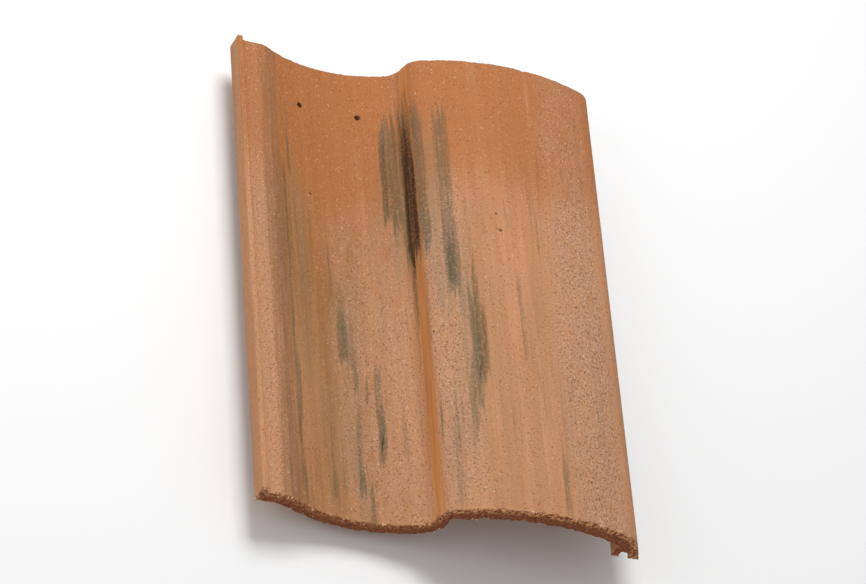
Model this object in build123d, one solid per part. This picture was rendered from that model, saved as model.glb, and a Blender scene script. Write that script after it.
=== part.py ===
from build123d import *
import math
import os

# One fired clay roof tile of S profile, moulded in one piece. Sizes are in millimetres.
#
# From left to right the tile has a flat shelf with a rain-stop rib, which the neighbouring tile laps over,
# a shallow curved pan that carries the water, a steep riser, a broad rolled crown, and a thick lap wall
# whose grooved foot comes down over the next tile's rib and shelf. Under the head are two hanging lugs, a
# low one below the pan and a tall heel inside the crown, and under the nose are curved ribs that sit in
# the pan of the tile below. All of these feet end at one level, so the tile lies flat on a floor.
#
# The section is drawn with X across the roof and Z out of the roof, from the lowest line of the pan's
# upper face. The nose is at low Y and the head at high Y. The finished tile stands on z = 0, with the
# middle of its outline over the origin.

# Overall sizes
TILE_LENGTH = 432.0
COVER_WIDTH = 293.0  # from one tile to the next, across the roof

# Pan: a round trough
PAN_RADIUS = 118.0
PAN_THICKNESS = 12.0

# Riser: the steep wall up from the pan
RISER_OUT = 59.5  # from the lowest line of the pan to the crease above the riser
RISER_HEIGHT = 34.5  # of that crease, above the lowest line of the pan
RISER_SLOPE = 76.0  # degrees
RISER_THICKNESS = 12.0

# Lap wall: the outer edge of the crown
LAP_WALL_HEIGHT = 24.7  # from its foot to the crease above it
LAP_WALL_SLOPE = 62.0  # degrees
LAP_WALL_FOOT = 24.0  # breadth of its foot

# Crown: a broad round roll from one crease to the other
CROWN_HEIGHT = 53.5  # above the lowest line of the pan
CROWN_THICKNESS = 14.0

# Side lap: the shelf under the neighbour's foot, and the rib on it that stops driven rain
SHELF_BREADTH = 20.3  # from the rain rib to the edge of the pan
SHELF_HEIGHT = 15.0
SHELF_THICKNESS = 12.0
RAIN_RIB_WIDTH = 5.0
RAIN_RIB_HEIGHT = 5.0
FOOT_LAND = 10.0  # breadth of the foot outside its groove
FOOT_CLEARANCE = 1.5  # between a lap wall's foot and the shelf below it
RIB_CLEARANCE = 1.5  # between the rain rib and each side of the groove over it

# Rounding of the section
COVE_RADIUS = 14.0  # foot of the riser, above
CREASE_RADIUS = 16.0  # both sides of the crown
UNDER_PAN_RADIUS = 14.0  # foot of the riser, below
UNDER_CREASE_RADIUS = 4.0  # inside corners under the crown
SHELF_RADIUS = 8.0  # where the shelf runs into the pan
FOOT_RADIUS = 2.5  # outer corner of the lap wall's foot
ARRIS_RADIUS = 1.2  # the other corners
NOSE_ARRIS = 1.0  # bevel round the cut nose and head

# Feet under the tile
FOOT_DROP = 10.0  # from the pan's lowest underside line down to the feet
LUG_WIDTH = 40.0
LUG_DEPTH = 18.0
HEEL_WIDTH = 26.0
HEEL_WALL_GAP = 5.0  # from the heel's foot to the lap wall beside it
LUG_HEAD_MARGIN = 12.0  # from the head to the back of the lugs
LUG_DRAFT = 7.0  # degrees, on all faces but the one that bears on the batten
NOSE_RIB_SPAN = 76.0
NOSE_RIB_WIDTH = 8.0
NOSE_RIB_PITCH = 20.0
NOSE_RIB_COUNT = 2
NOSE_RIB_SETBACK = 22.0  # from the nose to the first rib
FEET_RADIUS = 1.5

# Nail holes through the pan, just below the lug
NAIL_HOLE_DIAMETER = 5.0
NAIL_HOLE_SPACING = 50.0
NAIL_HOLE_BELOW_LUG = 14.0


def slope_run(rise, slope):
    """How far a wall of that slope in degrees leans over that rise."""
    return rise / math.tan(math.radians(slope))


def ridge_circle(left, right, top):
    """Centre and radius of the circle through two points that reaches up to a height."""
    left_drop = top - left.Y
    right_drop = top - right.Y
    half_turn = left_drop * (right.X - left.X)
    bend = left_drop * (right_drop * left_drop - (right.X - left.X) ** 2 - right_drop**2)
    reach = -bend / (half_turn + math.sqrt(half_turn**2 - (right_drop - left_drop) * bend))
    radius = (reach**2 + left_drop**2) / (2 * left_drop)
    return Vector(left.X + reach, top - radius), radius


# Heights and places that follow from the sizes above
pan_axis = Vector(0, PAN_RADIUS)
feet_z = -PAN_THICKNESS - FOOT_DROP
foot_z = SHELF_HEIGHT + FOOT_CLEARANCE
pan_edge_x = -math.sqrt(PAN_RADIUS**2 - (PAN_RADIUS - SHELF_HEIGHT) ** 2)
rain_rib_right = pan_edge_x - SHELF_BREADTH
rain_rib_left = rain_rib_right - RAIN_RIB_WIDTH
groove_right = rain_rib_right + COVER_WIDTH + RIB_CLEARANCE
groove_left = groove_right - RAIN_RIB_WIDTH - 2 * RIB_CLEARANCE
groove_top_z = foot_z + RAIN_RIB_HEIGHT + RIB_CLEARANCE
foot_outer = Vector(groove_right + FOOT_LAND, foot_z)
foot_inner = Vector(foot_outer.X - LAP_WALL_FOOT, foot_z)
riser_crease = Vector(RISER_OUT, RISER_HEIGHT)
lap_crease = foot_outer + Vector(-slope_run(LAP_WALL_HEIGHT, LAP_WALL_SLOPE), LAP_WALL_HEIGHT)
crown_axis, crown_radius = ridge_circle(riser_crease, lap_crease, CROWN_HEIGHT)
heel_centre_x = foot_inner.X - HEEL_WALL_GAP - HEEL_WIDTH / 2
lug_face_y = TILE_LENGTH - LUG_HEAD_MARGIN - LUG_DEPTH


def circle_height(x, centre, radius, side):
    """Height of a circle at x, on its upper (side 1) or lower (side -1) half."""
    return centre.Y + side * math.sqrt(radius**2 - (x - centre.X) ** 2)


def line_meets_circle(start, direction, centre, radius):
    """The far point where a line from start meets a circle."""
    along = direction.dot(start - centre)
    across = (start - centre).length ** 2 - radius**2
    return start + direction * (math.sqrt(along**2 - across) - along)


def arc_between(start, end, centre, radius, side):
    """An arc of the upper or lower half of a circle, through its point midway between two ends."""
    middle_x = (start.X + end.X) / 2
    middle = Vector(middle_x, circle_height(middle_x, centre, radius, side))
    return ThreePointArc(start, middle, end)


def tile_section():
    """The section of the tile: two round faces, two sloping walls and the side lap, then its rounding."""
    under_pan = PAN_RADIUS + PAN_THICKNESS
    under_crown = crown_radius - CROWN_THICKNESS
    riser_angle = math.radians(RISER_SLOPE)
    down_riser = Vector(-math.cos(riser_angle), -math.sin(riser_angle))
    shelf_under_z = SHELF_HEIGHT - SHELF_THICKNESS
    rib_top_z = SHELF_HEIGHT + RAIN_RIB_HEIGHT

    rib_outer = Vector(rain_rib_left, rib_top_z)
    rib_inner = Vector(rain_rib_right, rib_top_z)
    rib_foot = Vector(rain_rib_right, SHELF_HEIGHT)
    shelf_end = Vector(pan_edge_x, SHELF_HEIGHT)
    riser_foot = line_meets_circle(riser_crease, down_riser, pan_axis, PAN_RADIUS)
    wall_inner = Vector(foot_inner.X, circle_height(foot_inner.X, crown_axis, under_crown, 1))
    under_riser = riser_crease + Vector(RISER_THICKNESS / math.sin(riser_angle), 0)
    under_crease = line_meets_circle(under_riser, -down_riser, crown_axis, under_crown)
    under_cove = line_meets_circle(under_riser, down_riser, pan_axis, under_pan)
    edge_under = Vector(rain_rib_left, shelf_under_z)
    shelf_under = line_meets_circle(Vector(0, shelf_under_z), Vector(-1, 0), pan_axis, under_pan)
    groove = [
        Vector(groove_right, foot_z),
        Vector(groove_right, groove_top_z),
        Vector(groove_left, groove_top_z),
        Vector(groove_left, foot_z),
    ]

    outline = [
        Polyline(edge_under, rib_outer, rib_inner, rib_foot, shelf_end),
        arc_between(shelf_end, riser_foot, pan_axis, PAN_RADIUS, -1),
        Line(riser_foot, riser_crease),
        arc_between(riser_crease, lap_crease, crown_axis, crown_radius, 1),
        Polyline(lap_crease, foot_outer, *groove, foot_inner, wall_inner),
        arc_between(wall_inner, under_crease, crown_axis, under_crown, 1),
        Line(under_crease, under_cove),
        arc_between(under_cove, shelf_under, pan_axis, under_pan, -1),
        Line(shelf_under, edge_under),
    ]
    section = make_face(outline)

    rounding = [
        (riser_foot, COVE_RADIUS),
        (riser_crease, CREASE_RADIUS),
        (lap_crease, CREASE_RADIUS),
        (under_cove, UNDER_PAN_RADIUS),
        (under_crease, UNDER_CREASE_RADIUS),
        (wall_inner, UNDER_CREASE_RADIUS),
        (shelf_end, SHELF_RADIUS),
        (shelf_under, SHELF_RADIUS),
        (foot_outer, FOOT_RADIUS),
        (foot_inner, ARRIS_RADIUS),
        (rib_outer, ARRIS_RADIUS),
        (rib_inner, ARRIS_RADIUS),
        (rib_foot, ARRIS_RADIUS),
        (edge_under, ARRIS_RADIUS),
    ]
    rounding += [(corner, ARRIS_RADIUS) for corner in groove]
    for corner, radius in rounding:
        section = fillet(section.vertices().sort_by_distance(corner)[0], radius)
    return section


def along_tile(face, start_y, length):
    """A solid drawn along Y from a face of the section plane."""
    return Pos(Y=start_y) * extrude(Plane.XZ * face, length, dir=(0, 1, 0))


def pan_middle():
    """The round body inside the middle line of the pan's thickness."""
    circle = Pos(pan_axis) * Circle(PAN_RADIUS + PAN_THICKNESS / 2)
    return along_tile(circle, 0, TILE_LENGTH)


def crown_middle():
    """The round body inside the middle line of the crown's thickness."""
    circle = Pos(crown_axis) * Circle(crown_radius - CROWN_THICKNESS / 2)
    return along_tile(circle, 0, TILE_LENGTH)


def lug(centre_x, width):
    """A tapered lug on the feet level, with a square face towards the nose to bear on a batten."""
    middle = Pos(centre_x, lug_face_y + LUG_DEPTH / 2, feet_z)
    block = extrude(middle * Rectangle(width, LUG_DEPTH), CROWN_HEIGHT - feet_z, taper=-LUG_DRAFT)
    block = split(block, Plane.XZ.offset(-lug_face_y), keep=Keep.BOTTOM)
    return fillet(block.faces().sort_by(Axis.Z)[0].edges(), FEET_RADIUS)


def nose_ribs():
    """Curved ribs under the nose, with the pan's own curve below, so that they sit in the next pan."""
    bottom = Pos(0, feet_z + PAN_RADIUS) * Circle(PAN_RADIUS)
    limits = Pos(0, feet_z) * Rectangle(NOSE_RIB_SPAN, PAN_RADIUS)
    ribs = []
    for number in range(NOSE_RIB_COUNT):
        start_y = NOSE_RIB_SETBACK + number * NOSE_RIB_PITCH
        ribs.append(along_tile(bottom & limits, start_y, NOSE_RIB_WIDTH) - pan_middle())
    return ribs


def nail_holes():
    """Round holes through the pan, level with the batten that the lug hooks over."""
    holes = []
    for side in (-1, 1):
        centre = Pos(side * NAIL_HOLE_SPACING / 2, lug_face_y - NAIL_HOLE_BELOW_LUG)
        holes.append(centre * Cylinder(NAIL_HOLE_DIAMETER / 2, 2 * PAN_RADIUS))
    return holes


def roof_tile():
    """The whole tile, set down on its feet."""
    tile = along_tile(tile_section(), 0, TILE_LENGTH)
    ends = tile.faces().filter_by(Axis.Y)
    tile = chamfer(ends.edges(), NOSE_ARRIS)
    tile += lug(0, LUG_WIDTH) - pan_middle()
    tile += lug(heel_centre_x, HEEL_WIDTH) & crown_middle()
    tile += nose_ribs()
    tile -= nail_holes()
    outline = tile.bounding_box()
    return Pos(-outline.center().X, -outline.center().Y, -outline.min.Z) * tile


os.makedirs("parts", exist_ok=True)
tile = roof_tile()
export_step(tile, "parts/roof_tile.step")
print("solids", len(tile.solids()), "volume", round(tile.volume), "size", tile.bounding_box().size)
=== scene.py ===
# %% [markdown]
# # A sand-faced clay roof tile
#
# This notebook dresses one fired clay tile of S profile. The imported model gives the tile's size, its lugs
# and its mounts. Here the tile gets what a press, a wire cut and a kiln leave on it: a skin of sand,
# drag lines along its length, a ragged cut nose and long dark smoke streaks.
#
# We start with the fixed frame. Everything after this line is placed in its metres.

# %% Load the frame
import math

import bmesh
import bpy
import numpy as np
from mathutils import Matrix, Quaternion, Vector


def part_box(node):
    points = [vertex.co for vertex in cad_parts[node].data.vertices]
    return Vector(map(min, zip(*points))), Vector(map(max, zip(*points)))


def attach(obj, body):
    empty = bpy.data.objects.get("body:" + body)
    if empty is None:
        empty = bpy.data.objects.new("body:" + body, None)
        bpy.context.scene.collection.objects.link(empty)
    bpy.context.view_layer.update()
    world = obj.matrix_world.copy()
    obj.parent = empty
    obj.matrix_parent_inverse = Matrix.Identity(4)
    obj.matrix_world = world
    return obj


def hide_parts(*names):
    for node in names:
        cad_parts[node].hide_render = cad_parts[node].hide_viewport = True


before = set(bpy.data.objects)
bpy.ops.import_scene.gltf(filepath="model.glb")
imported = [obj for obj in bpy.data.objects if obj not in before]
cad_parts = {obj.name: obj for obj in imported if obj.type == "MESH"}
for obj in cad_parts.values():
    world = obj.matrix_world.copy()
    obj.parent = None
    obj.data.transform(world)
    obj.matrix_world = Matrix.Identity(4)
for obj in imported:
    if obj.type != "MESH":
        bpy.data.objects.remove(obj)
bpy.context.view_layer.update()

tile_low, tile_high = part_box("roof_tile")
print("tile from", [round(v, 4) for v in tile_low], "to", [round(v, 4) for v in tile_high])

# %% [markdown]
# ## The sizes of the section
#
# A tile like this is pressed or extruded, so one section runs through its whole length. It could be
# drawn freehand as a curve, but the section decides where water runs and how tiles lock, so we write it
# with real sizes. They are in millimetres, across from the pan's lowest line and up from its upper face.

# %% Name the section's sizes
MM = 0.001
PAN_RADIUS, PAN_THICKNESS = 118.0, 12.0
RISER_OUT, RISER_HEIGHT, RISER_SLOPE, RISER_THICKNESS = 59.5, 34.5, 76.0, 12.0
CROWN_HEIGHT, CROWN_THICKNESS = 53.5, 14.0
LAP_WALL_HEIGHT, LAP_WALL_SLOPE, LAP_WALL_FOOT = 24.7, 62.0, 24.0
COVER_WIDTH, SHELF_BREADTH, SHELF_HEIGHT, SHELF_THICKNESS = 293.0, 20.3, 15.0, 12.0
RAIN_RIB_WIDTH, RAIN_RIB_HEIGHT, RIB_CLEARANCE = 5.0, 5.0, 1.5
FOOT_LAND, FOOT_CLEARANCE, FOOT_DROP = 10.0, 1.5, 10.0

foot_z = SHELF_HEIGHT + FOOT_CLEARANCE
pan_edge = -math.sqrt(PAN_RADIUS**2 - (PAN_RADIUS - SHELF_HEIGHT) ** 2)
rib_right = pan_edge - SHELF_BREADTH
rib_left = rib_right - RAIN_RIB_WIDTH
groove_right = rib_right + COVER_WIDTH + RIB_CLEARANCE
groove_left = groove_right - RAIN_RIB_WIDTH - 2 * RIB_CLEARANCE
groove_top = foot_z + RAIN_RIB_HEIGHT + RIB_CLEARANCE
foot_right = groove_right + FOOT_LAND
foot_left = foot_right - LAP_WALL_FOOT
shift_x = tile_low.x / MM - rib_left
shift_z = PAN_THICKNESS + FOOT_DROP
print("section from", round(rib_left, 1), "to", round(foot_right, 1), "mm")
print("pan line at x =", round(shift_x, 2), "mm in the frame")

# %% [markdown]
# ## A crown through two creases
#
# The crown is one round sweep from the crease above the riser to the crease above the lap wall, with a
# given height. Three facts fix a circle, so we solve for it and never type its radius.

# %% Solve the crown's circle
def ridge_circle(left, right, top):
    """Centre and radius of the circle through two points that reaches up to a height."""
    left_drop, right_drop, span = top - left[1], top - right[1], right[0] - left[0]
    half_turn = left_drop * span
    bend = left_drop * (right_drop * left_drop - span**2 - right_drop**2)
    reach = -bend / (half_turn + math.sqrt(half_turn**2 - (right_drop - left_drop) * bend))
    radius = (reach**2 + left_drop**2) / (2 * left_drop)
    return np.array([left[0] + reach, top - radius]), radius


riser_crease = np.array([RISER_OUT, RISER_HEIGHT])
lap_run = LAP_WALL_HEIGHT / math.tan(math.radians(LAP_WALL_SLOPE))
lap_crease = np.array([foot_right - lap_run, foot_z + LAP_WALL_HEIGHT])
crown_centre, crown_radius = ridge_circle(riser_crease, lap_crease, CROWN_HEIGHT)
pan_centre = np.array([0.0, PAN_RADIUS])
print("crown radius", round(crown_radius, 1), "mm, ridge at", round(crown_centre[0], 1))

# %% [markdown]
# ## Legs and corners
#
# The outline is a chain of legs, each straight or part of a circle, joined at corners that are then
# rounded. A rounding touches both legs, so its centre lies one radius away from each. We find that
# centre with a few Newton steps, which works for lines and circles alike.

# %% Write the rounding of a corner
def far_meeting(start, direction, centre, radius):
    """The far point where a line from start meets a circle."""
    along = direction @ (start - centre)
    across = (start - centre) @ (start - centre) - radius**2
    return start + direction * (math.sqrt(along**2 - across) - along)


def leg_gap(leg, point):
    """Signed distance from a leg to a point, and the direction in which it grows."""
    if leg[0] == "line":
        normal = np.array([-leg[2][1], leg[2][0]])
        return normal @ (point - leg[1]), normal
    out = point - leg[1]
    length = math.hypot(*out)
    return length - leg[2], out / length


def leg_heading(leg, point, sense):
    """The direction of travel along a leg at a point on it."""
    if leg[0] == "line":
        return leg[2]
    out = (point - leg[1]) / leg[2]
    return np.array([-out[1], out[0]]) * sense


def round_corner(leg_in, leg_out, corner, radius, senses):
    """Points of the arc that rounds a corner, from its touch on one leg to its touch on the next."""
    heading_in = leg_heading(leg_in, corner, senses[0])
    heading_out = leg_heading(leg_out, corner, senses[1])
    turn = math.acos(np.clip(heading_in @ heading_out, -1, 1))
    inward = (heading_out - heading_in) / np.linalg.norm(heading_out - heading_in)
    centre = corner + inward * radius / math.cos(turn / 2)
    signs = [math.copysign(radius, leg_gap(leg, centre)[0]) for leg in (leg_in, leg_out)]
    for _ in range(12):
        gaps = [leg_gap(leg, centre) for leg in (leg_in, leg_out)]
        error = np.array([gaps[0][0] - signs[0], gaps[1][0] - signs[1]])
        centre = centre - np.linalg.solve(np.array([gaps[0][1], gaps[1][1]]), error)
    touches = [centre - leg_gap(leg, centre)[1] * sign for leg, sign in zip((leg_in, leg_out), signs)]
    first, last = [math.atan2(*(touch - centre)[::-1]) for touch in touches]
    swing = (last - first + math.pi) % (2 * math.pi) - math.pi
    angles = first + swing * np.linspace(0, 1, max(5, int(radius * abs(swing) / 0.3)))
    return centre + radius * np.column_stack([np.cos(angles), np.sin(angles)])


print("a right angle rounds to", round_corner(
    ("line", np.zeros(2), np.array([1.0, 0.0])), ("line", np.array([5.0, 0.0]), np.array([0.0, 1.0])),
    np.array([5.0, 0.0]), 1.0, (1, 1))[[0, -1]].round(2).tolist())

# %% [markdown]
# ## The upper and lower lines
#
# The outline has an upper line, which the weather sees, and a lower line. Both run from the shelf's edge
# to the foot of the lap wall. They get different spacing, so the seen face is fine and the hidden one
# light. Tight roundings get closer points than either.

# %% Trace both lines of the section
def trace(points, legs, radii, step):
    """Points along a chain of legs, about one step apart and closer in the rounded corners."""
    runs, steps = [np.array([points[0]])], []
    for number, radius in enumerate(radii):
        senses = [leg[3] if leg[0] == "arc" else 1 for leg in legs[number:number + 2]]
        bend = round_corner(legs[number], legs[number + 1], np.array(points[number + 1]), radius, senses)
        if legs[number][0] == "arc":
            centre, size = legs[number][1:3]
            start, end = runs[-1][-1] - centre, bend[0] - centre
            angles = np.linspace(math.atan2(start[1], start[0]), math.atan2(end[1], end[0]), 400)
            runs.append(centre + size * np.column_stack([np.cos(angles), np.sin(angles)])[1:-1])
            steps += [step] * 398
        runs.append(bend)
        steps += [step] + [min(step, max(0.45, 0.3 * radius))] * (len(bend) - 1)
    line = np.vstack(runs + [np.array([points[-1]])])
    cost = np.concatenate([[0], np.cumsum(np.hypot(*np.diff(line, axis=0).T) / np.array(steps + [step]))])
    even = np.linspace(0, cost[-1], int(cost[-1]) + 1)
    return np.column_stack([np.interp(even, cost, line[:, side]) for side in (0, 1)])


def straight(start, end):
    """A straight leg from one point to another."""
    start, end = np.array(start), np.array(end)
    return ("line", start, (end - start) / np.linalg.norm(end - start))


riser_down = -np.array([math.cos(math.radians(RISER_SLOPE)), math.sin(math.radians(RISER_SLOPE))])
riser_foot = far_meeting(riser_crease, riser_down, pan_centre, PAN_RADIUS)
shelf_under_z = SHELF_HEIGHT - SHELF_THICKNESS
rib_top = SHELF_HEIGHT + RAIN_RIB_HEIGHT
left_end, right_end = (rib_left, SHELF_HEIGHT / 2), (groove_right + FOOT_LAND / 2, foot_z)
upper_points = [
    left_end, (rib_left, rib_top), (rib_right, rib_top), (rib_right, SHELF_HEIGHT),
    (pan_edge, SHELF_HEIGHT), riser_foot, riser_crease, lap_crease, (foot_right, foot_z), right_end,
]
upper_legs = [straight(*upper_points[n:n + 2]) for n in range(9)]
upper_legs[4] = ("arc", pan_centre, PAN_RADIUS, 1)
upper_legs[6] = ("arc", crown_centre, crown_radius, -1)
fine_step, coarse_step = ((1.2, 3.0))
upper_line = trace(upper_points, upper_legs, [1.2, 1.2, 1.2, 8, 14, 16, 16, 2.5], fine_step)

under_pan, under_crown = PAN_RADIUS + PAN_THICKNESS, crown_radius - CROWN_THICKNESS
under_start = riser_crease + np.array([RISER_THICKNESS / math.sin(math.radians(RISER_SLOPE)), 0])
under_crease = far_meeting(under_start, -riser_down, crown_centre, under_crown)
under_cove = far_meeting(under_start, riser_down, pan_centre, under_pan)
shelf_under = far_meeting(np.array([0, shelf_under_z]), np.array([-1.0, 0]), pan_centre, under_pan)
wall_top = crown_centre[1] + math.sqrt(under_crown**2 - (foot_left - crown_centre[0]) ** 2)
lower_points = [
    left_end, (rib_left, shelf_under_z), shelf_under, under_cove, under_crease, (foot_left, wall_top),
    (foot_left, foot_z), (groove_left, foot_z), (groove_left, groove_top), (groove_right, groove_top),
    (groove_right, foot_z), right_end,
]
lower_legs = [straight(*lower_points[n:n + 2]) for n in range(11)]
lower_legs[2] = ("arc", pan_centre, under_pan, 1)
lower_legs[4] = ("arc", crown_centre, under_crown, -1)
lower_line = trace(lower_points, lower_legs, [1.2, 8, 14, 4, 4] + [1.2] * 5, coarse_step)
print("upper line", len(upper_line), "points, lower line", len(lower_line), "points")

# %% [markdown]
# ## One closed outline with its outward directions
#
# Joined end to end, the two lines make one loop. Each point also gets the direction that points out of
# the clay, because wear always works inwards from there. The distance round the loop tells one place
# on an edge from the next.

# %% Close the outline
outline = np.vstack([upper_line, lower_line[-2:0:-1]])
before, after = np.roll(outline, 1, axis=0), np.roll(outline, -1, axis=0)
headings = (after - before) / np.linalg.norm(after - before, axis=1)[:, None]
outwards = np.column_stack([-headings[:, 1], headings[:, 0]])
is_upper = np.arange(len(outline)) < len(upper_line)
turns = np.abs(np.arcsin(np.clip(np.cross(outline - before, after - outline)
                                 / np.linalg.norm(outline - before, axis=1)
                                 / np.linalg.norm(after - outline, axis=1), -1, 1)))
tightness = turns / np.linalg.norm(after - before, axis=1) * 2
wear_limit = np.clip(0.45 / np.maximum(tightness, 1e-3), 0.25, 3.0)
print("outline", len(outline), "points, tightest rounding", round(1 / tightness.max(), 2), "mm")

# %% [markdown]
# ## Noise that repeats
#
# Clay never tears evenly, yet the notebook must give the same tile each time. We use smooth noise read
# at fixed places: the same place always gives the same value. Random numbers come from generators with
# fixed seeds.

# %% Write the noise helper
from mathutils import noise


def rough(places, size, octaves=3, offset=0.0):
    """Smooth noise of about -1 to 1 at rows of places, for features of a given size."""
    scaled = np.asarray(places, float) / size + offset
    return np.array([noise.fractal(Vector(row), 0.7, 2.1, octaves) for row in scaled.tolist()])


rng = np.random.default_rng(432)
print("noise at three places", rough([[0, 0, 0.5], [1, 0, 0.5], [2, 0, 0.5]], 2.0).round(2).tolist())

# %% [markdown]
# ## The body, ring by ring
#
# The body is the outline repeated along the tile. The rings stand close together at the nose, where the
# wire cut tore the clay, and wider apart behind. Near the nose every ring is drawn in a little by an
# uneven amount, so the edge is worn round, with chips. Along the length, shallow drag lines follow the
# way the tile left its press.

# %% Build the body's rings
def widening(first, growth, widest, length):
    """Distances from 0 to a length, with gaps that grow from the first to the widest."""
    gaps = []
    while sum(gaps) < length:
        gaps.append(min(widest, first * growth ** len(gaps)))
    return np.cumsum([0] + gaps) * length / sum(gaps)


TILE_LENGTH = (tile_high.y - tile_low.y) / MM
widest_gap = 3.2
from_nose = widening(0.5, 1.13, widest_gap, TILE_LENGTH / 2)
from_head = widening(0.7, 1.25, widest_gap, TILE_LENGTH / 2)
rings_y = np.concatenate([from_nose, TILE_LENGTH - from_head[-2::-1]])


def cut_depth(points, which):
    """How far each point of a cut end lies inside the flat end: torn clay with pits and a few gouges."""
    rows = np.column_stack([points, np.full(len(points), 7.0 * which)])
    torn = 0.6 + 0.55 * rough(rows, 2.6, 4)
    pits = 2.2 * np.maximum(0, rough(rows, 6.0, 2, 31.7) - 0.2)
    return np.clip(torn + pits, 0.02, 2.8)


rows = np.column_stack([outline, np.zeros(len(outline))])
chips = np.maximum(0, rough(rows, 3.2, 3, 11.3))
chips += 1.6 * np.maximum(0, rough(rows, 9.0, 2, 4.1) - 0.3)
nose_wear = np.minimum(0.4 + 2.3 * chips, wear_limit)
nose_reach = 1.3 + 4.0 * chips
head_wear = np.minimum(0.5 + 0.5 * chips[::-1], wear_limit)
nose_cut, head_cut = cut_depth(outline, 1), cut_depth(outline, 2) * 0.6

vertices = []
for y in rings_y:
    from_end = TILE_LENGTH - y
    drag = rough(np.column_stack([outline, np.full(len(outline), y * 0.03)]), 3.0, 2, 2.2)
    inset = 0.12 + 0.07 * drag * is_upper
    inset = inset + nose_wear * np.maximum(0, 1 - y / nose_reach) ** 2
    inset = inset + head_wear * max(0, 1 - from_end / 1.5) ** 2
    ring = outline - outwards * inset[:, None]
    along = y + nose_cut * max(0, 1 - y / 5) - head_cut * max(0, 1 - from_end / 4)
    vertices.append(np.column_stack([ring[:, 0], along, ring[:, 1]]))
ring_size, ring_count = len(outline), len(vertices)
numbers = np.arange(ring_size)
following = np.roll(numbers, -1)
faces = []
for ring in range(ring_count - 1):
    low, high = ring * ring_size, (ring + 1) * ring_size
    faces += np.column_stack([numbers + low, numbers + high, following + high, following + low]).tolist()
print("body", ring_count, "rings,", len(faces), "four-sided faces")

# %% [markdown]
# ## The two cut ends
#
# Each end could be closed with one flat face, but the photograph of such a tile shows a torn, pitted
# nose. So we scatter points over the section, join them with the outline into triangles and push each
# one in by its own depth.

# %% Close both ends with torn faces
from mathutils.geometry import delaunay_2d_cdt


def end_face(ring, spacing, which):
    """Triangles that close one ring, with new points scattered inside it."""
    border = ring[:, [0, 2]]
    low, high = border.min(0), border.max(0)
    steps_across, steps_up = [np.arange(a, b, spacing) for a, b in zip(low, high)]
    grid = np.stack(np.meshgrid(steps_across, steps_up), -1).reshape(-1, 2)
    grid = grid + rng.uniform(-0.3, 0.3, grid.shape) * spacing
    ends = np.roll(border, -1, axis=0)
    crossings = np.zeros(len(grid), int)
    nearest = np.full(len(grid), 1e9)
    for a, b in zip(border, ends):
        spans = (a[1] > grid[:, 1]) != (b[1] > grid[:, 1])
        rise = b[1] - a[1] if b[1] != a[1] else 1e-9
        crossings += spans & (grid[:, 0] < a[0] + (grid[:, 1] - a[1]) * (b[0] - a[0]) / rise)
        side = np.clip(((grid - a) @ (b - a)) / max((b - a) @ (b - a), 1e-9), 0, 1)
        nearest = np.minimum(nearest, np.linalg.norm(grid - a - side[:, None] * (b - a), axis=1))
    inner = grid[(crossings % 2 == 1) & (nearest > 0.45 * spacing)]
    points = [Vector(p) for p in np.vstack([border, inner]).tolist()]
    edges = [(n, (n + 1) % len(border)) for n in range(len(border))]
    triangles, origin = delaunay_2d_cdt(points, edges, [], 1, 1e-7)[2:4]
    depth = cut_depth(inner, which)
    added = np.column_stack([inner[:, 0], depth, inner[:, 1]])
    return added, [[origin[n][0] for n in face] for face in triangles]


end_spacing = 0.95
for which, ring_number in ((1, 0), (2, ring_count - 1)):
    ring = vertices[ring_number]
    added, triangles = end_face(ring, end_spacing, which)
    if which == 2:
        added[:, 1] = TILE_LENGTH - 0.6 * added[:, 1]
    first_new = sum(len(part) for part in vertices)
    start = ring_number * ring_size
    vertices.append(added)
    for triangle in triangles:
        corners = [n + start if n < ring_size else n - ring_size + first_new for n in triangle]
        faces.append(corners if which == 1 else corners[::-1])
    print("end", which, "has", len(triangles), "triangles")

# %% [markdown]
# ## Into the frame
#
# The numbers so far are millimetres from the pan's line and the nose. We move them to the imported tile's
# place in metres, and ask for consistent outward faces.

# %% Make the body's mesh
def to_frame(points):
    """Section coordinates in millimetres, as places in the frame in metres."""
    moved = np.asarray(points, float) * MM
    return moved + np.array([shift_x * MM, tile_low.y, tile_low.z + shift_z * MM])


def make_piece(name, points, polygons):
    """A mesh object with outward faces from points in the frame."""
    mesh = bpy.data.meshes.new(name)
    mesh.from_pydata(np.asarray(points).tolist(), [], polygons)
    work = bmesh.new()
    work.from_mesh(mesh)
    bmesh.ops.recalc_face_normals(work, faces=work.faces)
    work.to_mesh(mesh)
    work.free()
    piece = bpy.data.objects.new(name, mesh)
    bpy.context.scene.collection.objects.link(piece)
    return piece


tile = make_piece("tile_body", to_frame(np.vstack(vertices)), faces)
print("body mesh", len(tile.data.vertices), "points", [round(v * 1000, 1) for v in tile.dimensions], "mm")

# %% [markdown]
# ## Lugs, nose ribs and nail holes
#
# Two lugs hook over the roof batten. Two low curved ribs under the nose sit in the pan of the tile below
# and keep the water out. On the real tile all of them are pressed in one with the body, so we join them
# with a Boolean union: that leaves one closed skin, where loose overlapping blocks would not.

# %% Shape the feet as closed blocks
FEET_LEVEL = -PAN_THICKNESS - FOOT_DROP
LUG_FACE, LUG_DEPTH, LUG_DRAFT = 402.0, 18.0, math.tan(math.radians(7))


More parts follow.
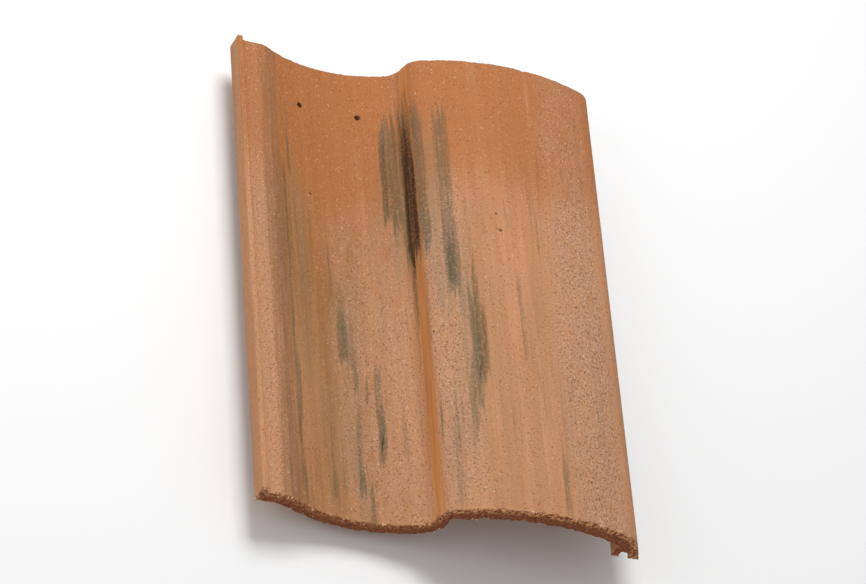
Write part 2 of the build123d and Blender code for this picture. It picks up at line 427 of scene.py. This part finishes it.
def lug_block(centre, width, height):
    """A lug that widens upwards on three sides, with a square face towards the nose."""
    points, grow = [], height * LUG_DRAFT
    for level, more in ((FEET_LEVEL, 0.0), (FEET_LEVEL + height, grow)):
        left, right = centre - width / 2 - more, centre + width / 2 + more
        back = LUG_FACE + LUG_DEPTH + more
        corners = ((left, LUG_FACE), (right, LUG_FACE), (right, back), (left, back))
        points += [(x, y, level) for x, y in corners]
    sides = [[n, (n + 1) % 4, (n + 1) % 4 + 4, n + 4] for n in range(4)]
    return np.array(points), [[3, 2, 1, 0], [4, 5, 6, 7]] + sides


def rib_block(start, width, half_span):
    """A curved rib whose bottom follows the next pan, with its top inside the clay."""
    across = np.linspace(-half_span, half_span, 49)
    low = FEET_LEVEL + PAN_RADIUS - np.sqrt(PAN_RADIUS**2 - across**2)
    middle = PAN_RADIUS + PAN_THICKNESS / 2
    high = PAN_RADIUS - np.sqrt(middle**2 - across**2)
    loop = np.vstack([np.column_stack([across, low]), np.column_stack([across, high])[::-1]])
    count = len(loop)
    points = [(x, start + side, z) for side in (0, width) for x, z in loop]
    sides = [[n, (n + 1) % count, (n + 1) % count + count, n + count] for n in range(count)]
    ends = [[n, n + 1, count - 2 - n, count - 1 - n] for n in range(len(across) - 1)]
    return np.array(points), sides + ends + [[n + count for n in face[::-1]] for face in ends]


HEEL_X = foot_left - 18.0
blocks = [lug_block(centre=0, width=40, height=17), lug_block(centre=HEEL_X, width=26, height=63.5)]
blocks += [rib_block(start, width=8, half_span=38) for start in (22, 42)]
feet_points = np.vstack([points for points, _ in blocks])
feet_faces, first = [], 0
for points, polygons in blocks:
    feet_faces += [[n + first for n in face] for face in polygons]
    first += len(points)
feet = make_piece("feet", to_frame(feet_points), feet_faces)
work = bmesh.new()
work.from_mesh(feet.data)
low_edges = [edge for edge in work.edges if len(edge.link_faces) == 2
             and edge.calc_face_angle() > 0.6
             and all(v.co.z < tile_low.z + 0.012 for v in edge.verts)]
bmesh.ops.bevel(work, geom=low_edges, offset=1.4 * MM, segments=3, affect="EDGES")
work.to_mesh(feet.data)
work.free()
print("feet blocks", len(blocks), "with", len(feet.data.polygons), "faces")

# %% [markdown]
# A punch makes the nail holes while the clay is soft. We cut them with a Boolean difference, then let go
# of the tools.

# %% Join the feet and cut the holes
def combine(target, tool, operation):
    """Join a tool to a piece or cut it away, and remove the tool."""
    step = target.modifiers.new("combine", "BOOLEAN")
    step.operation, step.object, step.solver = operation, tool, "EXACT"
    bpy.context.view_layer.objects.active = target
    bpy.ops.object.modifier_apply(modifier=step.name)
    bpy.data.objects.remove(tool)
    print(operation.lower(), "leaves", len(target.data.polygons), "faces")


combine(tile, feet, "UNION")
HOLE_ALONG, HOLE_SPACING, HOLE_RADIUS, HOLE_SIDES = 388.0, 50.0, 2.5, 28
hole_points, hole_faces = [], []
for side in (-HOLE_SPACING / 2, HOLE_SPACING / 2):
    first = len(hole_points)
    turn = np.linspace(0, 2 * math.pi, HOLE_SIDES, endpoint=False)
    for level in (-30.0, 20.0):
        hole_points += [(side + HOLE_RADIUS * math.cos(a), HOLE_ALONG + HOLE_RADIUS * math.sin(a), level)
                        for a in turn]
    low = [first + n for n in range(HOLE_SIDES)]
    high = [n + HOLE_SIDES for n in low]
    hole_faces += [[low[n - 1], low[n], high[n], high[n - 1]] for n in [*range(1, HOLE_SIDES), 0]]
    hole_faces += [low, high]
combine(tile, make_piece("punches", to_frame(hole_points), hole_faces), "DIFFERENCE")

# %% [markdown]
# ## Where the kiln and the weather left marks
#
# The dark streaks run along the tile, each in its own place. A picture could carry them, but a picture
# blurs up close and can't be resized. Instead we list each streak by its place across the tile, its nose
# end, its head end, its half width and its strength. At its ends and sides a streak has half that
# strength. A haze is listed the same way and is broad and soft. Many faint short streaks follow at
# random places, with a seed of their own.

# %% List the streaks
SMOKE = [   # across, nose end, head end, half width, strength
    (70.0, 234, 398, 7.6, 0.6), (66.4, 246, 386, 3.8, 0.5), (73.0, 234, 366, 3.6, 0.46),
    (70.2, 248, 340, 5.0, 0.24), (67.0, 188, 262, 2.9, 0.52), (46.0, 281, 372, 2.6, 0.9),
    (71.5, 208, 256, 4.0, 0.16),
    (54.5, 284, 388, 6.2, 0.7), (56.0, 260, 292, 5.6, 0.32), (81.8, 252, 390, 4.4, 0.66),
    (83.6, 250, 286, 3.2, 0.16), (102.4, 214, 380, 7.0, 0.6), (102.6, 212, 262, 5.6, 0.4),
    (120.4, 129, 196, 6.6, 0.88), (121.0, 192, 226, 2.9, 0.54), (121.5, 222, 262, 2.2, 0.3),
    (115.4, 98, 134, 6.2, 0.48), (112.4, 68, 100, 3.5, 0.42), (93.2, 4, 98, 3.4, 0.3),
    (-1.0, 142, 187, 3.8, 0.8), (6.4, 145, 188, 3.4, 0.38), (8.4, 121, 148, 1.8, 0.56),
    (0.0, 184, 218, 3.3, 0.34), (-7.4, 192, 246, 1.7, 0.3), (7.4, 47, 106, 2.7, 0.46),
    (7.6, 27, 49, 2.8, 0.58), (27.6, 72, 104, 3.5, 0.88), (27.0, 54, 76, 3.5, 0.72),
    (27.0, 102, 142, 3.4, 0.54), (47.0, 50, 102, 3.0, 0.32), (-39.6, 60, 312, 1.2, 0.62),
    (14.6, 0, 40, 1.8, 0.6), (159.8, 138, 222, 2.5, 0.37), (183.4, 0, 62, 3.5, 0.38),
    (193.5, 84, 132, 3.2, 0.24), (132.6, 250, 302, 1.6, 0.32), (176.0, 256, 344, 1.6, 0.24),
]
HAZE = [
    (56.0, 230, 366, 9.0, 0.4), (112.0, 60, 250, 9.0, 0.42), (90.0, 200, 356, 7.0, 0.5),
    (101.0, 186, 216, 10.0, 0.4), (4.0, 16, 215, 9.0, 0.36), (188.0, 0, 130, 7.0, 0.34),
    (-16.0, 0, 130, 8.0, 0.2), (140.0, 0, 90, 7.0, 0.22), (-30.0, 110, 310, 6.0, 0.34),
    (36.0, 190, 330, 6.0, 0.22), (93.0, 0, 110, 6.0, 0.4),
]
faint, rng = [], np.random.default_rng(76)
for _ in range(70):
    start = rng.uniform(0, 330)
    faint.append((rng.uniform(-45, 225), start, start + rng.uniform(18, 95), rng.uniform(0.9, 1.5),
                  rng.uniform(0.12, 0.36)))
for _ in range(24):
    start = rng.uniform(-20, 20)
    faint.append((rng.uniform(-50, 24), start, start + rng.uniform(25, 60), rng.uniform(0.8, 1.3),
                  rng.uniform(0.12, 0.28)))
print(len(SMOKE), "streaks,", len(HAZE), "soft hazes and", len(faint), "faint streaks")

# %% [markdown]
# To place a mark we need to know where each mesh point lies on the tile, in the section's millimetres,
# and whether it faces the sky. Measured straight across, the steep riser would be only a few millimetres
# wide. So we measure across the tile as seen from the left, where the riser keeps its breadth.
#
# A real streak isn't ruled. It wanders a little, and its ends are combed into hairs of unequal length.
# So we shift its place across by slow noise and its place along by fine noise. A faint streak shows only
# where no strong one lies. The sum is written onto the mesh points, and the finish later breaks it into
# hairs.

# %% Write the streaks on the mesh
count = len(tile.data.vertices)
places, normals = np.empty(count * 3), np.empty(count * 3)
tile.data.vertices.foreach_get("co", places)
tile.data.vertices.foreach_get("normal", normals)
places, normals = places.reshape(-1, 3), normals.reshape(-1, 3)
across = places[:, 0] / MM - shift_x
along = (places[:, 1] - tile_low.y) / MM
height = (places[:, 2] - tile_low.z) / MM - shift_z
seen_across = across + 0.6 * height
facing_up = np.clip(normals[:, 2] * 4, 0, 1)
zero = np.zeros(count)
wander = 0.7 * rough(np.column_stack([0.4 * seen_across, along, zero]), 38.0, 2, 8.1)
comb = 26 * rough(np.column_stack([seen_across, 0.01 * along, zero]), 2.8, 2, 5.7)


def band(value, low, high, soft_low, soft_high):
    """One inside a range, fading to nothing over a soft distance on each side."""
    rise = np.clip((value - low + soft_low) / soft_low, 0, 1)
    fall = np.clip((high + soft_high - value) / soft_high, 0, 1)
    return (rise * rise * (3 - 2 * rise)) * (fall * fall * (3 - 2 * fall))


def write_marks(piece, name, values):
    """Keep one number for each mesh point, for the finish to read."""
    layer = piece.data.attributes.new(name, "FLOAT", "POINT")
    layer.data.foreach_set("value", np.ascontiguousarray(values, np.float32))
    print(f"{name}: on {np.mean(values > 0.1):.1%} of the points")


def streaked(listed, power, longest_fade):
    """The sum of a list of streaks at every mesh point."""
    total = np.zeros(count)
    for x, nose_end, head_end, half_width, strength in listed:
        fade = min(0.3 * (head_end - nose_end), longest_fade)
        shape = 0.5 ** ((np.abs(seen_across - x + wander) / half_width) ** power)
        total += strength * shape * band(along + comb * min(1, fade / 14), nose_end + fade / 2,
                                         head_end - fade, fade, 2 * fade)
    return total


smoke_marks = streaked(SMOKE, 5, 14)
smoke_marks += streaked(faint, 5, 14) * np.clip(1 - 1.3 * smoke_marks, 0, 1)
write_marks(tile, "smoke", np.clip(smoke_marks, 0, 1.2) * facing_up)
write_marks(tile, "haze", np.clip(streaked(HAZE, 2, 60), 0, 1) * facing_up)

# %% [markdown]
# The other marks are broad regions: the stripe on the riser where the press rubbed the sand off, a darker
# brown band along the shelf's edge, painted shade on the side by the shelf as the next tile's lap wall
# would cast it, the strip that the next tile kept from the rain, more orange and darker with painted shade
# of that tile's nose, patches where more sand stayed, on the lap wall too, and the torn clay of both ends.
#
# The wire drew golden sand into the upper part of the nose's cut, most of all on the crown. That mark
# needs the distance of each point at the nose from the sanded face.

# %% Write the broad marks on the mesh
write_marks(tile, "stripe", band(seen_across, 69, 76, 1.8, 1.8) * facing_up)
# Painted shade on the side by the shelf, as the next tile's lap wall would cast it, deeper at the head.
lap_wall_shade = band(seen_across, -54, -30, 3, 115) * (0.66 + 0.34 * band(along, 270, 520, 180, 1))
write_marks(tile, "lap_wall_shade", lap_wall_shade * facing_up)
write_marks(tile, "edge", band(seen_across, -52, -42, 5, 1.5) * facing_up)
uneven = 30 * rough(np.column_stack([seen_across, zero, zero]), 16.0, 3, 1.1)
# Unbleached orange where the next tile lies, plus painted shade of that tile's nose, most in the pan.
unbleached_and_nose_shade = 0.4 * band(along + uneven, 400, 520, 210, 1) + 0.6 * band(along + 0.4 * uneven, 340, 520, 56, 1)
unbleached_and_nose_shade += 0.42 * band(seen_across, -20, 45, 20, 20) * band(along, 270, 520, 90, 1)
unbleached_and_nose_shade = np.clip(unbleached_and_nose_shade, 0, 1) * facing_up
write_marks(tile, "unbleached_and_nose_shade", unbleached_and_nose_shade)
wobble = 14 * rough(np.column_stack([zero, along, zero]), 60.0, 3, 2.6)
sandy = 0.95 * band(seen_across + wobble, 205, 226 + wobble, 26, 9)
sandy += 0.8 * band(seen_across + 0.4 * wobble, 82, 106, 4, 22) * band(along, 40, 280, 60, 50)
sandy += 0.55 * band(seen_across, -62, -48, 14, 9)
sandy += 0.55 * band(seen_across + wobble, 10, 60, 26, 6) * band(along, 20, 260, 40, 60)
sandy += 0.8 * band(height, 0, 36, 1, 8) * (across > 190)
sandy = np.clip(sandy, 0, 1) * (1 - 0.6 * unbleached_and_nose_shade)
write_marks(tile, "sandy", sandy * np.clip(normals[:, 2] * 12 + 0.6, 0, 1))
facing_along = np.abs(normals[:, 1])
write_marks(tile, "crumbly", band(along, -1, 1.2, 1, 2.4) * (1 - np.clip(facing_along * 1.4, 0, 1)))
torn = np.clip((facing_along - 0.3) * 3, 0, 1) * (np.minimum(along, TILE_LENGTH - along) < 5)
write_marks(tile, "torn", torn)
at_nose = np.flatnonzero(along < 5)
section = np.column_stack([across, height])[at_nose]
below_face = np.full(count, 99.0)
below_face[at_nose] = np.linalg.norm(section[:, None] - upper_line[None], axis=2).min(1)
crown_share = 0.35 + 0.65 * band(across, 72, 290, 22, 1)
write_marks(tile, "rind", torn * band(below_face, -1, 3.5, 1, 3.5) * crown_share)

tile.data.shade_smooth()
tile.data.set_sharp_from_angle(angle=math.radians(38))
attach(tile, "root")
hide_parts("roof_tile")

# %% [markdown]
# ## Crumbs along the cut edge
#
# Where the wire left the nose, small crumbs of sandy clay stuck to both edges and were fired there. Each
# is a little rough stone, half sunk in the edge. Modelled grains catch light on the edge's outline, which
# a painted pattern would not.

# %% Set the crumbs
def stone(centre, radius):
    """Points and triangles of a small rough stone."""
    work = bmesh.new()
    bmesh.ops.create_icosphere(work, subdivisions=2, radius=1.0)
    points = np.array([v.co for v in work.verts])
    polygons = [[v.index for v in face.verts] for face in work.faces]
    work.free()
    points = points * (1 + rng.uniform(-0.22, 0.22, len(points)))[:, None]
    return centre + points * radius * rng.uniform(0.7, 1.2, 3), polygons


crumb_count = 640
crumb_points, crumb_faces, first = [], [], 0
nose_ring = vertices[0]
clusters = rough(np.column_stack([outline, np.zeros(ring_size)]), 14.0, 2, 6.6)
places_on_edge = np.flatnonzero(clusters > -0.12)
for _ in range(crumb_count):
    at = int(rng.choice(places_on_edge))
    radius = float(rng.uniform(0.35, 0.8) + 0.6 * rng.random() ** 4)
    centre = nose_ring[at] + np.array([rng.uniform(-0.6, 0.6), rng.uniform(0.2, 1.4), 0])
    centre[[0, 2]] -= outwards[at] * rng.uniform(0.0, 0.9)
    points, polygons = stone(centre, radius)
    crumb_points.append(points)
    crumb_faces += [[n + first for n in face] for face in polygons]
    first += len(points)
crumb_points = np.vstack(crumb_points)
crumb_points[:, 0] = np.clip(crumb_points[:, 0], rib_left + 0.02, tile_high.x / MM - shift_x - 0.02)
crumb_points[:, 1] = np.maximum(crumb_points[:, 1], 0.02)
crumb_points[:, 2] = np.minimum(crumb_points[:, 2], CROWN_HEIGHT - 0.02)
crumbs = make_piece("nose_crumbs", to_frame(crumb_points), crumb_faces)
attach(crumbs, "root")
print(crumb_count, "crumbs,", len(crumbs.data.polygons), "triangles")

# %% [markdown]
# ## Building a finish from nodes
#
# A node finish computes colour at every point from patterns, so it stays sharp at any size. These small
# helpers add a node, set its inputs and return its output, which keeps the recipes below short.

# %% Write the node helpers
def srgb(red, green, blue):
    """A colour as seen on a screen, 0 to 255, as the linear light the renderer works with."""
    linear = []
    for value in (red, green, blue):
        v = value / 255
        linear.append(v / 12.92 if v <= 0.04045 else ((v + 0.055) / 1.055) ** 2.4)
    return (*linear, 1.0)


def add(tree, kind, result=0, settings=None, **inputs):
    """A node with its inputs set or linked, and one of its outputs."""
    made = tree.nodes.new(kind)
    for key, value in (settings or {}).items():
        setattr(made, key, value)
    for key, value in inputs.items():
        socket = made.inputs[int(key[1:])] if key[1:].isdigit() else made.inputs[key.replace("_", " ")]
        if isinstance(value, bpy.types.NodeSocket):
            tree.links.new(value, socket)
        else:
            socket.default_value = value
    return made.outputs[result]


def calc(tree, operation, a, b=0.0, c=0.0):
    """Arithmetic on one to three values."""
    return add(tree, "ShaderNodeMath", settings={"operation": operation}, i0=a, i1=b, i2=c)


def step_up(tree, value, low, high):
    """Nothing below low, all above high, smooth between."""
    return add(tree, "ShaderNodeMapRange", settings={"interpolation_type": "SMOOTHSTEP"},
               Value=value, From_Min=low, From_Max=high)


def mixed(tree, amount, under, over):
    """One colour laid over another by an amount."""
    return add(tree, "ShaderNodeMix", 2, {"data_type": "RGBA"}, i0=amount, i6=under, i7=over)


def grain(tree, place, stretch, detail=2.0, roughness=0.55, shift=0.0):
    """Noise with features of a given size in millimetres along each axis."""
    scaled = add(tree, "ShaderNodeMapping", Vector=place, Scale=[1000 / size for size in stretch],
                 Location=(shift, shift, shift))
    return add(tree, "ShaderNodeTexNoise", Vector=scaled, Scale=1.0, Detail=detail, Roughness=roughness)


print("crown colour in linear light", [round(v, 3) for v in srgb(195, 140, 104)[:3]])

# %% [markdown]
# ## Sand-faced fired clay
#
# The clay body is a warm orange brown, never even: broad soft bands run along the tile, lighter and
# darker, and fine drag lines run between them. The side by the shelf gets a browner painted shade, as
# the next tile's lap wall would cast it, deeper towards the head. The strip under the next tile is more
# orange, because no rain bleached it, and darker with painted shade of that tile's nose. We lay these
# tones over each other one by one.

# %% Mix the clay
clay = bpy.data.materials.new("sand_faced_clay")
clay.use_nodes = True
tree = clay.node_tree
tree.nodes.clear()
place = add(tree, "ShaderNodeTexCoord", 3)


def mark(name):
    """A number written on the mesh."""
    return add(tree, "ShaderNodeAttribute", 2, {"attribute_name": name})


def times(*values):
    """The product of several values."""
    product = values[0]
    for value in values[1:]:
        product = calc(tree, "MULTIPLY", product, value)
    return product


smoke, haze, stripe, lap_wall_shade, edge = [mark(n) for n in ("smoke", "haze", "stripe", "lap_wall_shade", "edge")]
sandy, unbleached_and_nose_shade, torn, crumbly, rind = [mark(n) for n in ("sandy", "unbleached_and_nose_shade", "torn", "crumbly", "rind")]
patches = grain(tree, place, (34, 240, 34), 2)
bands = grain(tree, place, (7, 150, 7), 3, 0.5, 3.3)
drag = grain(tree, place, (1.7, 90, 1.7), 3)
upper = step_up(tree, add(tree, "ShaderNodeSeparateXYZ", 2,
                          Vector=add(tree, "ShaderNodeNewGeometry", 1)), 0.05, 0.3)

colour = mixed(tree, step_up(tree, patches, 0.36, 0.66), srgb(192, 137, 97), srgb(178, 129, 92))
colour = mixed(tree, times(step_up(tree, bands, 0.42, 0.75), 0.5), colour, srgb(174, 120, 84))
colour = mixed(tree, times(step_up(tree, bands, 0.48, 0.2), 0.35), colour, srgb(208, 154, 120))
# Painted shade of the next tile's lap wall, in two brown tones, laid on the side by the shelf.
lap_wall_shade_tone = mixed(tree, step_up(tree, bands, 0.34, 0.66), srgb(160, 111, 65), srgb(134, 90, 47))
colour = mixed(tree, times(lap_wall_shade, 0.9), colour, lap_wall_shade_tone)
colour = mixed(tree, times(step_up(tree, drag, 0.52, 0.76), 0.3), colour, srgb(150, 100, 70))
# The head strip: unbleached orange with painted shade of the next tile's nose, in one tone.
colour = mixed(tree, times(unbleached_and_nose_shade, step_up(tree, bands, 0.1, 0.45), 0.82), colour, srgb(169, 104, 58))
print("clay base has", len(tree.nodes), "nodes")

# %% [markdown]
# The sand sits in the face as single grains, most of them dull and some dark or pale. Patches with more
# sand look greyer and pinker, because the grains hide the orange clay.

# %% Scatter the sand
dull = grain(tree, place, (2.2, 2.6, 2.2), 3, 0.65, 7.7)
dark = grain(tree, place, (1.6, 1.9, 1.6), 2, 0.6)
pale = grain(tree, place, (1.8, 1.9, 1.8), 2, 0.6, 5.3)
sand_cover = times(sandy, step_up(tree, grain(tree, place, (5, 16, 5), 4, 0.65, 1.9), 0.3, 0.55))
colour = mixed(tree, times(sand_cover, 0.62), colour, srgb(187, 145, 118))
colour = mixed(tree, times(sand_cover, step_up(tree, dull, 0.46, 0.66), 0.44), colour, srgb(150, 110, 84))
more = calc(tree, "MULTIPLY_ADD", sandy, -0.06, 0.585)
colour = mixed(tree, times(step_up(tree, calc(tree, "SUBTRACT", dark, more), 0.0, 0.12), 0.72), colour,
               srgb(112, 72, 50))
colour = mixed(tree, times(step_up(tree, calc(tree, "SUBTRACT", pale, more), 0.03, 0.15), 0.5), colour,
               srgb(224, 184, 148))
edge_line = step_up(tree, grain(tree, place, (2.4, 60, 2.4), 3, 0.6, 8.8), 0.3, 0.65)
edge_share = calc(tree, "MULTIPLY_ADD", edge_line, 0.5, 0.1)
colour = mixed(tree, times(edge, edge_share), colour, srgb(136, 94, 66))
print("with sand", len(tree.nodes), "nodes")

# %% [markdown]
# Smoke stained the clay in hairs along the tile. Long thin noise sets how strong each hair is, and short
# noise roughens it, so a streak is never even. Where much smoke lies, its green grey turns to a brown
# that is nearly black. A thinner veil lies round the dark cores.

# %% Lay the smoke
hairs = grain(tree, place, (1.5, 42, 1.5), 4, 0.6, 2.7)
frayed = grain(tree, place, (1.5, 3.6, 1.5), 3, 0.7, 9.1)
hair = step_up(tree, hairs, 0.34, 0.66)
reach = calc(tree, "MULTIPLY_ADD", hair, 0.5, 0.62)
reach = calc(tree, "MULTIPLY_ADD", step_up(tree, frayed, 0.34, 0.66), 0.3, reach)
soot = times(step_up(tree, times(smoke, reach), 0.06, 0.6), calc(tree, "MULTIPLY_ADD", smoke, 0.62, 0.3))
dense = step_up(tree, smoke, 0.84, 1.2)
bare_grains = step_up(tree, grain(tree, place, (1.9, 2.2, 1.9), 2, 0.6, 12.4), 0.52, 0.64)
gaps = calc(tree, "MULTIPLY_ADD", bare_grains, 0.45, calc(tree, "MULTIPLY_ADD", hair, -0.26, 0.26))
gaps = times(gaps, calc(tree, "MULTIPLY_ADD", dense, -0.7, 1.0))
soot = times(soot, calc(tree, "SUBTRACT", 1.0, gaps))
veil = times(haze, step_up(tree, grain(tree, place, (3.5, 80, 3.5), 3, 0.6, 14.2), 0.3, 0.6))
hair_lines = times(step_up(tree, grain(tree, place, (2.2, 75, 2.2), 4, 0.6, 21.0), 0.58, 0.72), upper)
colour = mixed(tree, times(hair_lines, 0.2), colour, srgb(116, 98, 78))
colour = mixed(tree, times(veil, 1.0), colour, srgb(132, 116, 92))
smoke_tone = mixed(tree, step_up(tree, grain(tree, place, (26, 90, 26), 1, 0.5, 4.4), 0.42, 0.58),
                   srgb(84, 76, 49), srgb(81, 84, 67))
smoke_tone = mixed(tree, dense, smoke_tone, srgb(66, 44, 22))
colour = mixed(tree, times(soot, 0.97), colour, smoke_tone)
print("with smoke", len(tree.nodes), "nodes")

# %% [markdown]
# A few grains of iron in the clay melted in the kiln and left small dark spots. Each spot is a distance
# from one point of the surface: near the point the colour is dark, farther away it is left alone.

# %% Dot the iron spots
SPOTS = (148, 262, 1.6), (146, 279, 1.1), (80.5, 166, 1.1), (-19, 301, 1.3), (205, 38, 1.0)
for x, y, radius in SPOTS:   # across, along and radius in millimetres
    at = int(np.argmin((seen_across - x) ** 2 + (along - y) ** 2 + 10000 * (facing_up < 0.5)))
    away = add(tree, "ShaderNodeVectorMath", 1, {"operation": "DISTANCE"}, i0=place, i1=tuple(places[at]))
    spot = step_up(tree, away, 1.25 * radius * MM, 0.6 * radius * MM)
    colour = mixed(tree, times(spot, 0.8), colour, srgb(84, 48, 32))
print("with iron spots", len(tree.nodes), "nodes")

# %% [markdown]
# Last come the smooth orange stripe, the torn ends with golden flecks in the nose's upper part, and the
# relief. The relief is a bump for grains too small to model. The stripe has almost none, because its face
# is rubbed smooth.

# %% Finish the clay
clean = calc(tree, "SUBTRACT", 1.0, soot)
ragged = step_up(tree, grain(tree, place, (4, 60, 4), 3, 0.6, 3.9), 0.26, 0.46)
rubbed = times(stripe, ragged, clean)
stripe_tone = mixed(tree, step_up(tree, drag, 0.4, 0.65), srgb(198, 132, 73), srgb(182, 115, 61))
colour = mixed(tree, times(rubbed, 0.85), colour, stripe_tone)
raw = mixed(tree, step_up(tree, grain(tree, place, (2.2, 2.2, 2.2), 4, 0.7), 0.35, 0.65),
            srgb(98, 46, 24), srgb(142, 78, 45))
raw = mixed(tree, times(step_up(tree, pale, 0.6, 0.7), 0.6), raw, srgb(214, 170, 130))
flecks = step_up(tree, grain(tree, place, (2.5, 2.5, 2.5), 3, 0.65, 23.0), 0.46, 0.58)
raw = mixed(tree, times(rind, flecks, 0.9), raw, srgb(226, 164, 106))
colour = mixed(tree, times(torn, 0.92), colour, raw)
loose = step_up(tree, grain(tree, place, (2.6, 2.2, 2.6), 3, 0.65, 16.4), 0.42, 0.58)
colour = mixed(tree, times(crumbly, loose, 0.8), colour, srgb(198, 152, 108))

sand = grain(tree, place, (0.9, 1.0, 0.9), 3, 0.65)
relief = calc(tree, "MULTIPLY_ADD", grain(tree, place, (2.6, 3.4, 2.6), 2), 0.8, sand)
relief = calc(tree, "MULTIPLY_ADD", drag, 0.5, relief)
relief = times(relief, calc(tree, "MULTIPLY_ADD", rubbed, -0.8, 1.0))
bump = add(tree, "ShaderNodeBump", Strength=0.75, Distance=0.0005, Height=relief)
skin = add(tree, "ShaderNodeBsdfPrincipled", Base_Color=colour, Roughness=0.92, Normal=bump)
skin.node.inputs["Specular IOR Level"].default_value = 0.22
tree.links.new(skin, tree.nodes.new("ShaderNodeOutputMaterial").inputs["Surface"])
tile.data.materials.clear()
tile.data.materials.append(clay)
print("clay finish has", len(tree.nodes), "nodes")

# %% [markdown]
# The crumbs are the same clay with more pale sand in it, so their finish is a short recipe of its own.

# %% Mix the crumb finish
crumb = bpy.data.materials.new("crumb_clay")
crumb.use_nodes = True
tree = crumb.node_tree
tree.nodes.clear()
place = add(tree, "ShaderNodeTexCoord", 3)
tone = step_up(tree, grain(tree, place, (3.5, 3.5, 3.5), 3), 0.4, 0.62)
colour = mixed(tree, tone, srgb(150, 92, 60), srgb(222, 178, 140))
skin = add(tree, "ShaderNodeBsdfPrincipled", Base_Color=colour, Roughness=0.9)
skin.node.inputs["Specular IOR Level"].default_value = 0.22
tree.links.new(skin, tree.nodes.new("ShaderNodeOutputMaterial").inputs["Surface"])
crumbs.data.materials.append(crumb)
crumbs.data.shade_smooth()
print("crumb finish has", len(tree.nodes), "nodes")

# %% [markdown]
# ## A pale floor and white surroundings
#
# The tile lies on a plain floor that keeps its shadow. Far from the tile the floor fades into the white
# of the surroundings. Only the camera sees that white: the light on the tile comes from a dimmer world,
# so its colours stay as mixed.

# %% Lay the floor and set the surroundings
mesh = bpy.data.meshes.new("floor")
mesh.from_pydata([(-6, -6, 0), (6, -6, 0), (6, 6, 0), (-6, 6, 0)], [], [[0, 1, 2, 3]])
floor = bpy.data.objects.new("floor", mesh)
bpy.context.scene.collection.objects.link(floor)
pale_floor = bpy.data.materials.new("pale_floor")
pale_floor.use_nodes = True
tree = pale_floor.node_tree
tree.nodes.clear()
paint = add(tree, "ShaderNodeBsdfPrincipled", Base_Color=(0.86, 0.86, 0.86, 1), Roughness=0.95)
paint.node.inputs["Specular IOR Level"].default_value = 0.1
distance = add(tree, "ShaderNodeVectorMath", 1, {"operation": "LENGTH"},
               i0=add(tree, "ShaderNodeTexCoord", 3))
far = calc(tree, "MULTIPLY", step_up(tree, distance, 0.45, 1.3), add(tree, "ShaderNodeLightPath", 0))
blank = add(tree, "ShaderNodeEmission", Color=(1, 1, 1, 1), Strength=1.0)
tree.links.new(add(tree, "ShaderNodeMixShader", i0=far, i1=paint, i2=blank),
               tree.nodes.new("ShaderNodeOutputMaterial").inputs["Surface"])
floor.data.materials.append(pale_floor)

world = bpy.data.worlds.new("studio")
bpy.context.scene.world = world
world.use_nodes = True
tree = world.node_tree
tree.nodes.clear()
seen = add(tree, "ShaderNodeLightPath", 0)
white = add(tree, "ShaderNodeBackground", Color=(1, 1, 1, 1), Strength=1.0)
soft = add(tree, "ShaderNodeBackground", Color=(1, 1, 1, 1), Strength=0.45)
both = add(tree, "ShaderNodeMixShader", i0=seen, i1=soft, i2=white)
tree.links.new(both, tree.nodes.new("ShaderNodeOutputWorld").inputs["Surface"])
print("floor and surroundings ready")

# %% [markdown]
# ## Soft studio light
#
# The photographed roof stands in bright, slightly veiled daylight that falls down the slope. So the main
# light is a large soft area above and behind the head: it keeps the crown bright and lets the cut nose
# fall into shade. A weaker one from the left opens the shadows.

# %% Hang the lights
def soft_light(name, place, aim, size, watts):
    """A square area light at a place, aimed at a point."""
    lamp = bpy.data.lights.new(name, "AREA")
    lamp.size, lamp.energy = size, watts
    holder = bpy.data.objects.new(name, lamp)
    holder.location = place
    holder.rotation_mode = "QUATERNION"
    holder.rotation_quaternion = (Vector(aim) - Vector(place)).to_track_quat("-Z", "Y")
    bpy.context.scene.collection.objects.link(holder)
    return holder


middle = (0, 0, 0.04)
soft_light("key", (-0.25, 0.95, 1.7), middle, size=0.9, watts=30)
soft_light("fill", (-1.6, -0.6, 1.1), middle, size=1.2, watts=6)

# %% [markdown]
# ## The camera
#
# The roof is seen from below and from the left, with a long lens, so that the tile's length runs up the
# picture. The camera stands on that line of sight and is rolled until the length is upright.

# %% Aim the camera
def aim_camera(azimuth, elevation, lens, away, roll):
    """A camera on a line of sight to the tile, at a distance in metres, rolled about that line."""
    a, e = math.radians(azimuth), math.radians(elevation)
    back = Vector((math.sin(a) * math.cos(e), -math.cos(a) * math.cos(e), math.sin(e)))
    data = bpy.data.cameras.new("camera")
    data.lens, data.sensor_width = lens, 36.0
    camera = bpy.data.objects.new("camera", data)
    bpy.context.scene.collection.objects.link(camera)
    camera.location = Vector(middle) + back * away
    camera.rotation_mode = "QUATERNION"
    turn = (-back).to_track_quat("-Z", "Y")
    camera.rotation_quaternion = Quaternion(back, math.radians(roll)) @ turn
    data.clip_start, data.clip_end = 0.05, 50
    bpy.context.scene.camera = camera
    return camera


camera = aim_camera(azimuth=-32, elevation=46, lens=180, away=3.35, roll=36)
bpy.context.scene.view_settings.view_transform = "Standard"
print("camera at", [round(v, 2) for v in camera.location])
